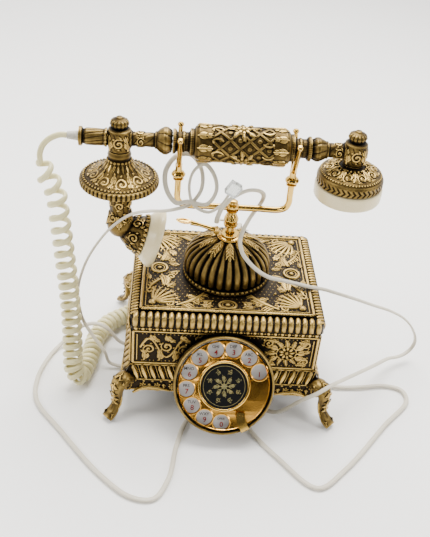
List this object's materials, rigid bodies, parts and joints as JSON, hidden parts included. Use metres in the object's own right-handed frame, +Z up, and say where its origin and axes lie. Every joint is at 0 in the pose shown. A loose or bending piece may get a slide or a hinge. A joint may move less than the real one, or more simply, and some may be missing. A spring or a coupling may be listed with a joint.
{
  "type": "rotary telephone",
  "caption": "Antique brass desk telephone with a rotary dial, sprung post cradle, fluted dome and a horn handset.",
  "frame": {"origin": "middle of the bounding box of the telephone without its free cords, at the feet", "axes": "+Z up, +X along the handset towards the earpiece, dial facing -Y"},
  "size_m": [0.3496, 0.2626, 0.2407],
  "materials": {
    "antique_brass": "cast relief, polished high spots over dark patina",
    "polished_brass": "polished and lacquered",
    "ivory_plastic": "moulded ivory, satin gloss",
    "plated_steel": "zinc plated pressings",
    "black_phenolic": "moulded black phenolic",
    "copper_winding": "enamelled copper wire",
    "dial_plate_enamel": "light grey enamel with printed numerals",
    "black_card": "black card under a clear face",
    "grey_strain_relief": "moulded soft grey",
    "cream_curly_cord": "cream coiled jacket",
    "white_line_cord": "white flat jacket",
    "clear_plug_plastic": "clear moulded plug"
  },
  "bodies": {
    "base": {"lid": "antique_brass", "body_shell": "antique_brass", "skirt": "antique_brass", "bottom_plate": "antique_brass", "leg_front_left": "antique_brass", "leg_front_right": "antique_brass", "leg_rear_right": "antique_brass", "leg_rear_left": "antique_brass", "dome_ring": "antique_brass", "dome": "antique_brass", "post_collar": "polished_brass", "dial_bezel": "antique_brass", "dial_housing": "antique_brass", "number_plate": "dial_plate_enamel", "finger_stop": "polished_brass", "dial_frame_plate": "plated_steel", "hook_bracket": "plated_steel", "contact_stack": "black_phenolic", "gong_left": "plated_steel", "gong_right": "plated_steel", "clapper_post": "plated_steel", "ringer_coil": "copper_winding", "line_transformer": "black_phenolic", "gland_curly": "grey_strain_relief", "gland_line": "grey_strain_relief", "curly_cord_lead": "cream_curly_cord", "curly_cord_coil": "cream_curly_cord", "curly_cord_tail": "cream_curly_cord", "line_cord_top": "white_line_cord", "line_cord_floor": "white_line_cord", "line_cord_left": "white_line_cord", "line_plug": "clear_plug_plastic"},
    "spoon_lever": {"spoon_lever": "polished_brass"},
    "cradle": {"cradle_post": "polished_brass", "cradle_yoke": "polished_brass", "fork_left": "polished_brass", "fork_right": "polished_brass"},
    "handset": {"handset_grip": "antique_brass", "handset_collar_left": "antique_brass", "handset_stem_left": "antique_brass", "handset_collar_right": "antique_brass", "handset_stem_right": "antique_brass", "mouth_hub": "antique_brass", "ear_hub": "antique_brass", "cord_ferrule": "antique_brass", "cord_boot": "grey_strain_relief", "mouth_bell": "antique_brass", "mouth_elbow": "antique_brass", "transmitter_capsule": "plated_steel", "mouthpiece_cap": "ivory_plastic", "ear_shell": "antique_brass", "receiver_capsule": "plated_steel", "ear_cap": "ivory_plastic"},
    "dial_rotor": {"finger_wheel": "polished_brass", "card_ring": "polished_brass", "centre_card": "black_card", "dial_gear_shaft": "plated_steel"},
    "governor": {"governor": "polished_brass"},
    "hook_lever": {"hook_lever": "plated_steel"},
    "clapper": {"clapper": "polished_brass"}
  },
  "joints": [
    {"name": "cradle_slide", "type": "slide", "parent": "base", "child": "cradle", "axis": [0, 0, 1], "range_m": [0, 0.004], "stiffness_N_per_m": 250, "springref_m": 0.006},
    {"name": "handset_lift", "type": "slide", "parent": "cradle", "child": "handset", "axis": [0, 0, 1], "range_m": [0, 0.025]},
    {"name": "dial_turn", "type": "hinge", "parent": "base", "child": "dial_rotor", "pos_m": [0.00665, -0.0799, 0.0498], "axis": [0, 0.8829, -0.4695], "range_deg": [0, 320], "stiffness_Nm_per_rad": 0.01},
    {"name": "governor_spin", "type": "hinge", "parent": "base", "child": "governor", "pos_m": [0.01407, -0.07033, 0.0678], "axis": [0, 0.8829, -0.4695], "range_deg": [-1300, 0]},
    {"name": "hook_lever_pivot", "type": "hinge", "parent": "base", "child": "hook_lever", "pos_m": [0.04065, 0.0081, 0.0567], "axis": [0, 1, 0], "range_deg": [0, 6.3]},
    {"name": "spoon_lever_pivot", "type": "hinge", "parent": "base", "child": "spoon_lever", "pos_m": [-0.00455, 0.0081, 0.143], "axis": [0, 1, 0], "range_deg": [0, 8]},
    {"name": "clapper_swing", "type": "hinge", "parent": "base", "child": "clapper", "pos_m": [-0.01335, 0.0041, 0.04], "axis": [0, 0, 1], "range_deg": [-2, 2], "stiffness_Nm_per_rad": 0.02}
  ],
  "couplings": [
    {"joint": "governor_spin", "follows": "dial_turn", "ratio": -4},
    {"joint": "hook_lever_pivot", "follows": "cradle_slide", "rad_per_m": 27}
  ]
}
